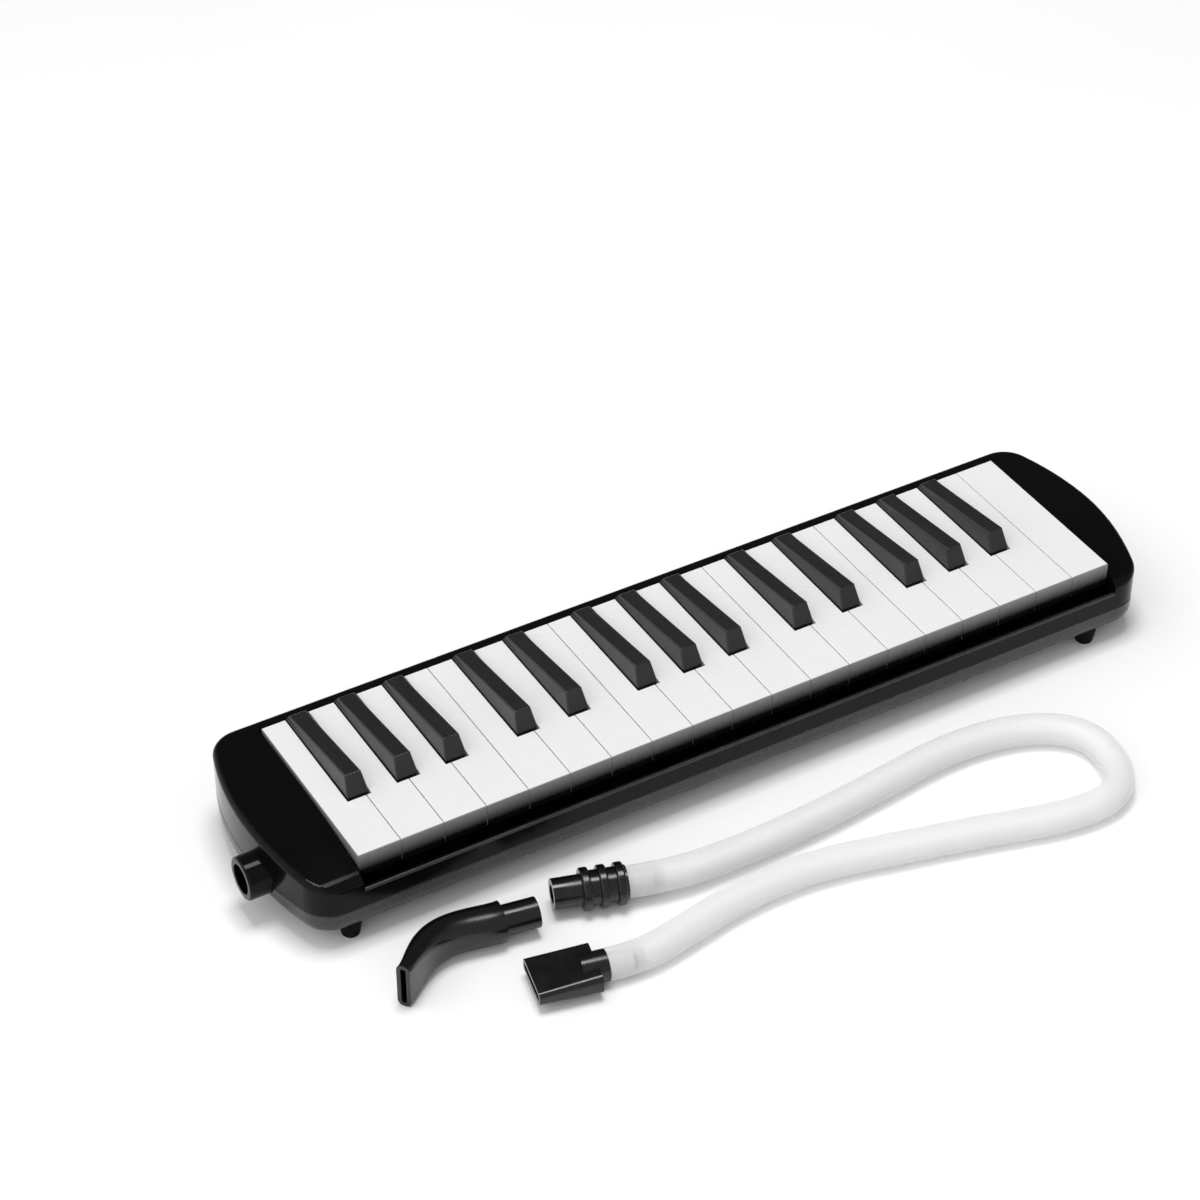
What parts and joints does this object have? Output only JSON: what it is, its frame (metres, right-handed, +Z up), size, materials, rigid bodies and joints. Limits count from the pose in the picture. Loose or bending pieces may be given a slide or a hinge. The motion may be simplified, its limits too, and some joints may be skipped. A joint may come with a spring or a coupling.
{
  "type": "melodica",
  "caption": "Small wind keyboard: glossy case with piano-style keys over a reed chest, with a blowing hose and a short bent mouthpiece.",
  "frame": {"origin": "on the table, under the middle of the box around the instrument and its short mouthpiece", "axes": "+X along the keyboard to the high notes, +Y away from the player, +Z up"},
  "size_m": [0.4326, 0.1988, 0.0489],
  "materials": {
    "gloss_case": "glossy moulded ABS, black",
    "white_key": "semi-gloss moulded plastic, white",
    "black_key": "satin moulded plastic, charcoal black",
    "satin_black": "satin black plastic",
    "mouth_black": "semi-gloss black plastic",
    "foot_rubber": "matt black rubber",
    "gasket": "soft foam rubber",
    "chest_plastic": "grey moulded plastic",
    "reed_brass": "rolled brass",
    "reed_steel": "ground spring strip",
    "steel_screw": "zinc plated steel",
    "rod_steel": "bright drawn steel",
    "felt": "pressed wool felt",
    "clear_hose": "milky translucent soft PVC, smooth"
  },
  "bodies": {
    "case": {"blow_socket": "gloss_case", "case_screws": "steel_screw", "chest_cover": "chest_plastic", "chest_gasket": "gasket", "chest_screws": "steel_screw", "drain_spring": "rod_steel", "front_felt": "felt", "key_pivot_rod": "rod_steel", "key_springs": "rod_steel", "lower_case": "gloss_case", "reed_plate_high": "reed_brass", "reed_plate_low": "reed_brass", "reed_plate_screws": "steel_screw", "reed_rivets": "reed_brass", "reeds": "reed_steel", "rubber_feet": "foot_rubber", "socket_seal": "gasket", "upper_case": "gloss_case", "wind_chest": "chest_plastic"},
    "white_key_f3": {"white_key_f3": "white_key"},
    "black_key_fs3": {"black_key_fs3": "black_key"},
    "white_key_g3": {"white_key_g3": "white_key"},
    "black_key_gs3": {"black_key_gs3": "black_key"},
    "white_key_a3": {"white_key_a3": "white_key"},
    "black_key_as3": {"black_key_as3": "black_key"},
    "white_key_b3": {"white_key_b3": "white_key"},
    "white_key_c4": {"white_key_c4": "white_key"},
    "black_key_cs4": {"black_key_cs4": "black_key"},
    "white_key_d4": {"white_key_d4": "white_key"},
    "black_key_ds4": {"black_key_ds4": "black_key"},
    "white_key_e4": {"white_key_e4": "white_key"},
    "white_key_f4": {"white_key_f4": "white_key"},
    "black_key_fs4": {"black_key_fs4": "black_key"},
    "white_key_g4": {"white_key_g4": "white_key"},
    "black_key_gs4": {"black_key_gs4": "black_key"},
    "white_key_a4": {"white_key_a4": "white_key"},
    "black_key_as4": {"black_key_as4": "black_key"},
    "white_key_b4": {"white_key_b4": "white_key"},
    "white_key_c5": {"white_key_c5": "white_key"},
    "black_key_cs5": {"black_key_cs5": "black_key"},
    "white_key_d5": {"white_key_d5": "white_key"},
    "black_key_ds5": {"black_key_ds5": "black_key"},
    "white_key_e5": {"white_key_e5": "white_key"},
    "white_key_f5": {"white_key_f5": "white_key"},
    "black_key_fs5": {"black_key_fs5": "black_key"},
    "white_key_g5": {"white_key_g5": "white_key"},
    "black_key_gs5": {"black_key_gs5": "black_key"},
    "white_key_a5": {"white_key_a5": "white_key"},
    "black_key_as5": {"black_key_as5": "black_key"},
    "white_key_b5": {"white_key_b5": "white_key"},
    "white_key_c6": {"white_key_c6": "white_key"},
    "drain_button": {"drain_button": "satin_black", "drain_seal": "gasket"},
    "hose": {"hose": "clear_hose", "hose_connector": "mouth_black", "hose_mouthpiece": "mouth_black"},
    "mouthpiece": {"mouthpiece": "mouth_black"}
  },
  "joints": [
    {"name": "white_key_f3_rock", "type": "hinge", "parent": "case", "child": "white_key_f3", "pos_m": [0, 0.03468, 0.028], "axis": [1, 0, 0], "range_deg": [0, 5], "stiffness_Nm_per_rad": 0.12, "springref_deg": -6.88, "deforming": ["key_springs"]},
    {"name": "black_key_fs3_rock", "type": "hinge", "parent": "case", "child": "black_key_fs3", "pos_m": [0, 0.03468, 0.028], "axis": [1, 0, 0], "range_deg": [0, 5], "stiffness_Nm_per_rad": 0.12, "springref_deg": -6.88},
    {"name": "white_key_g3_rock", "type": "hinge", "parent": "case", "child": "white_key_g3", "pos_m": [0, 0.03468, 0.028], "axis": [1, 0, 0], "range_deg": [0, 5], "stiffness_Nm_per_rad": 0.12, "springref_deg": -6.88},
    {"name": "black_key_gs3_rock", "type": "hinge", "parent": "case", "child": "black_key_gs3", "pos_m": [0, 0.03468, 0.028], "axis": [1, 0, 0], "range_deg": [0, 5], "stiffness_Nm_per_rad": 0.12, "springref_deg": -6.88},
    {"name": "white_key_a3_rock", "type": "hinge", "parent": "case", "child": "white_key_a3", "pos_m": [0, 0.03468, 0.028], "axis": [1, 0, 0], "range_deg": [0, 5], "stiffness_Nm_per_rad": 0.12, "springref_deg": -6.88},
    {"name": "black_key_as3_rock", "type": "hinge", "parent": "case", "child": "black_key_as3", "pos_m": [0, 0.03468, 0.028], "axis": [1, 0, 0], "range_deg": [0, 5], "stiffness_Nm_per_rad": 0.12, "springref_deg": -6.88},
    {"name": "white_key_b3_rock", "type": "hinge", "parent": "case", "child": "white_key_b3", "pos_m": [0, 0.03468, 0.028], "axis": [1, 0, 0], "range_deg": [0, 5], "stiffness_Nm_per_rad": 0.12, "springref_deg": -6.88},
    {"name": "white_key_c4_rock", "type": "hinge", "parent": "case", "child": "white_key_c4", "pos_m": [0, 0.03468, 0.028], "axis": [1, 0, 0], "range_deg": [0, 5], "stiffness_Nm_per_rad": 0.12, "springref_deg": -6.88},
    {"name": "black_key_cs4_rock", "type": "hinge", "parent": "case", "child": "black_key_cs4", "pos_m": [0, 0.03468, 0.028], "axis": [1, 0, 0], "range_deg": [0, 5], "stiffness_Nm_per_rad": 0.12, "springref_deg": -6.88},
    {"name": "white_key_d4_rock", "type": "hinge", "parent": "case", "child": "white_key_d4", "pos_m": [0, 0.03468, 0.028], "axis": [1, 0, 0], "range_deg": [0, 5], "stiffness_Nm_per_rad": 0.12, "springref_deg": -6.88},
    {"name": "black_key_ds4_rock", "type": "hinge", "parent": "case", "child": "black_key_ds4", "pos_m": [0, 0.03468, 0.028], "axis": [1, 0, 0], "range_deg": [0, 5], "stiffness_Nm_per_rad": 0.12, "springref_deg": -6.88},
    {"name": "white_key_e4_rock", "type": "hinge", "parent": "case", "child": "white_key_e4", "pos_m": [0, 0.03468, 0.028], "axis": [1, 0, 0], "range_deg": [0, 5], "stiffness_Nm_per_rad": 0.12, "springref_deg": -6.88},
    {"name": "white_key_f4_rock", "type": "hinge", "parent": "case", "child": "white_key_f4", "pos_m": [0, 0.03468, 0.028], "axis": [1, 0, 0], "range_deg": [0, 5], "stiffness_Nm_per_rad": 0.12, "springref_deg": -6.88},
    {"name": "black_key_fs4_rock", "type": "hinge", "parent": "case", "child": "black_key_fs4", "pos_m": [0, 0.03468, 0.028], "axis": [1, 0, 0], "range_deg": [0, 5], "stiffness_Nm_per_rad": 0.12, "springref_deg": -6.88},
    {"name": "white_key_g4_rock", "type": "hinge", "parent": "case", "child": "white_key_g4", "pos_m": [0, 0.03468, 0.028], "axis": [1, 0, 0], "range_deg": [0, 5], "stiffness_Nm_per_rad": 0.12, "springref_deg": -6.88},
    {"name": "black_key_gs4_rock", "type": "hinge", "parent": "case", "child": "black_key_gs4", "pos_m": [0, 0.03468, 0.028], "axis": [1, 0, 0], "range_deg": [0, 5], "stiffness_Nm_per_rad": 0.12, "springref_deg": -6.88},
    {"name": "white_key_a4_rock", "type": "hinge", "parent": "case", "child": "white_key_a4", "pos_m": [0, 0.03468, 0.028], "axis": [1, 0, 0], "range_deg": [0, 5], "stiffness_Nm_per_rad": 0.12, "springref_deg": -6.88},
    {"name": "black_key_as4_rock", "type": "hinge", "parent": "case", "child": "black_key_as4", "pos_m": [0, 0.03468, 0.028], "axis": [1, 0, 0], "range_deg": [0, 5], "stiffness_Nm_per_rad": 0.12, "springref_deg": -6.88},
    {"name": "white_key_b4_rock", "type": "hinge", "parent": "case", "child": "white_key_b4", "pos_m": [0, 0.03468, 0.028], "axis": [1, 0, 0], "range_deg": [0, 5], "stiffness_Nm_per_rad": 0.12, "springref_deg": -6.88},
    {"name": "white_key_c5_rock", "type": "hinge", "parent": "case", "child": "white_key_c5", "pos_m": [0, 0.03468, 0.028], "axis": [1, 0, 0], "range_deg": [0, 5], "stiffness_Nm_per_rad": 0.12, "springref_deg": -6.88},
    {"name": "black_key_cs5_rock", "type": "hinge", "parent": "case", "child": "black_key_cs5", "pos_m": [0, 0.03468, 0.028], "axis": [1, 0, 0], "range_deg": [0, 5], "stiffness_Nm_per_rad": 0.12, "springref_deg": -6.88},
    {"name": "white_key_d5_rock", "type": "hinge", "parent": "case", "child": "white_key_d5", "pos_m": [0, 0.03468, 0.028], "axis": [1, 0, 0], "range_deg": [0, 5], "stiffness_Nm_per_rad": 0.12, "springref_deg": -6.88},
    {"name": "black_key_ds5_rock", "type": "hinge", "parent": "case", "child": "black_key_ds5", "pos_m": [0, 0.03468, 0.028], "axis": [1, 0, 0], "range_deg": [0, 5], "stiffness_Nm_per_rad": 0.12, "springref_deg": -6.88},
    {"name": "white_key_e5_rock", "type": "hinge", "parent": "case", "child": "white_key_e5", "pos_m": [0, 0.03468, 0.028], "axis": [1, 0, 0], "range_deg": [0, 5], "stiffness_Nm_per_rad": 0.12, "springref_deg": -6.88},
    {"name": "white_key_f5_rock", "type": "hinge", "parent": "case", "child": "white_key_f5", "pos_m": [0, 0.03468, 0.028], "axis": [1, 0, 0], "range_deg": [0, 5], "stiffness_Nm_per_rad": 0.12, "springref_deg": -6.88},
    {"name": "black_key_fs5_rock", "type": "hinge", "parent": "case", "child": "black_key_fs5", "pos_m": [0, 0.03468, 0.028], "axis": [1, 0, 0], "range_deg": [0, 5], "stiffness_Nm_per_rad": 0.12, "springref_deg": -6.88},
    {"name": "white_key_g5_rock", "type": "hinge", "parent": "case", "child": "white_key_g5", "pos_m": [0, 0.03468, 0.028], "axis": [1, 0, 0], "range_deg": [0, 5], "stiffness_Nm_per_rad": 0.12, "springref_deg": -6.88},
    {"name": "black_key_gs5_rock", "type": "hinge", "parent": "case", "child": "black_key_gs5", "pos_m": [0, 0.03468, 0.028], "axis": [1, 0, 0], "range_deg": [0, 5], "stiffness_Nm_per_rad": 0.12, "springref_deg": -6.88},
    {"name": "white_key_a5_rock", "type": "hinge", "parent": "case", "child": "white_key_a5", "pos_m": [0, 0.03468, 0.028], "axis": [1, 0, 0], "range_deg": [0, 5], "stiffness_Nm_per_rad": 0.12, "springref_deg": -6.88},
    {"name": "black_key_as5_rock", "type": "hinge", "parent": "case", "child": "black_key_as5", "pos_m": [0, 0.03468, 0.028], "axis": [1, 0, 0], "range_deg": [0, 5], "stiffness_Nm_per_rad": 0.12, "springref_deg": -6.88},
    {"name": "white_key_b5_rock", "type": "hinge", "parent": "case", "child": "white_key_b5", "pos_m": [0, 0.03468, 0.028], "axis": [1, 0, 0], "range_deg": [0, 5], "stiffness_Nm_per_rad": 0.12, "springref_deg": -6.88},
    {"name": "white_key_c6_rock", "type": "hinge", "parent": "case", "child": "white_key_c6", "pos_m": [0, 0.03468, 0.028], "axis": [1, 0, 0], "range_deg": [0, 5], "stiffness_Nm_per_rad": 0.12, "springref_deg": -6.88},
    {"name": "drain_press", "type": "slide", "parent": "case", "child": "drain_button", "axis": [-1, 0, 0], "range_m": [0, 0.0018], "stiffness_N_per_m": 250, "springref_m": -0.002, "deforming": ["drain_spring"]},
    {"name": "hose_lift", "type": "slide", "parent": "case", "child": "hose", "axis": [0, 0, 1], "range_m": [0, 0.06]},
    {"name": "mouthpiece_lift", "type": "slide", "parent": "case", "child": "mouthpiece", "axis": [0, 0, 1], "range_m": [0, 0.06]}
  ]
}
